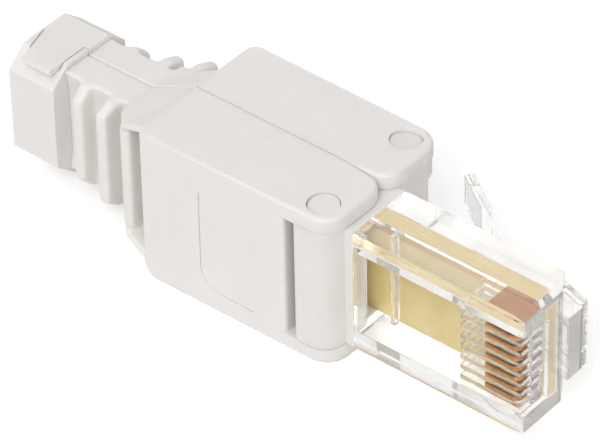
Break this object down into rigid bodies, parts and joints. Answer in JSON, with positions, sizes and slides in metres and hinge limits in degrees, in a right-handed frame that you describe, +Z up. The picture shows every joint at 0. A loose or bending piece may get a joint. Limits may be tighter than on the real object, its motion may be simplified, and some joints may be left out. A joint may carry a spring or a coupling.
{
  "type": "modular plug",
  "caption": "Tool-free network plug: clear jack-side body with gold contacts and a latch lever, two hinged white jaws and a ribbed cable boot.",
  "frame": {"origin": "centre of the bounding box's bottom face, on the plane that the jaws' flat sides lie on", "axes": "+X the way the plug is pushed into a jack, +Y towards the latch lever, +Z up across the plug's width"},
  "size_m": [0.054, 0.018, 0.0147],
  "materials": {
    "white_nylon": "fine moulded satin",
    "clear_polycarbonate": "clear and polished",
    "board_laminate": "solder mask over glass laminate",
    "gold_plating": "gold plated, bright",
    "tinned_bronze": "tin plated",
    "insulator_nylon": "moulded matte"
  },
  "bodies": {
    "plug": {"base": "white_nylon", "plug_shell": "clear_polycarbonate", "circuit_board": "board_laminate", "wire_block_contact_side": "insulator_nylon", "wire_block_latch_side": "insulator_nylon", "contact_1": "gold_plating", "contact_2": "gold_plating", "contact_3": "gold_plating", "contact_4": "gold_plating", "contact_5": "gold_plating", "contact_6": "gold_plating", "contact_7": "gold_plating", "contact_8": "gold_plating", "terminal_1": "tinned_bronze", "terminal_2": "tinned_bronze", "terminal_3": "tinned_bronze", "terminal_4": "tinned_bronze", "terminal_5": "tinned_bronze", "terminal_6": "tinned_bronze", "terminal_7": "tinned_bronze", "terminal_8": "tinned_bronze"},
    "contact_side_jaw": {"jaw_contact_side": "white_nylon"},
    "latch_side_jaw": {"jaw_latch_side": "white_nylon"},
    "lever": {"latch_lever": "clear_polycarbonate"}
  },
  "joints": [
    {"name": "jaw_contact_side_hinge", "type": "hinge", "parent": "plug", "child": "contact_side_jaw", "pos_m": [0.00675, -0.00698, 0.00735], "axis": [0, 0, 1], "range_deg": [0, 75]},
    {"name": "jaw_latch_side_hinge", "type": "hinge", "parent": "plug", "child": "latch_side_jaw", "pos_m": [0.00675, 0.00332, 0.00735], "axis": [0, 0, -1], "range_deg": [0, 75]},
    {"name": "latch_lever_hinge", "type": "hinge", "parent": "plug", "child": "lever", "pos_m": [0.0265, 0.00013, 0.00735], "axis": [0, 0, 1], "range_deg": [0, 12], "stiffness_Nm_per_rad": 0.2}
  ]
}
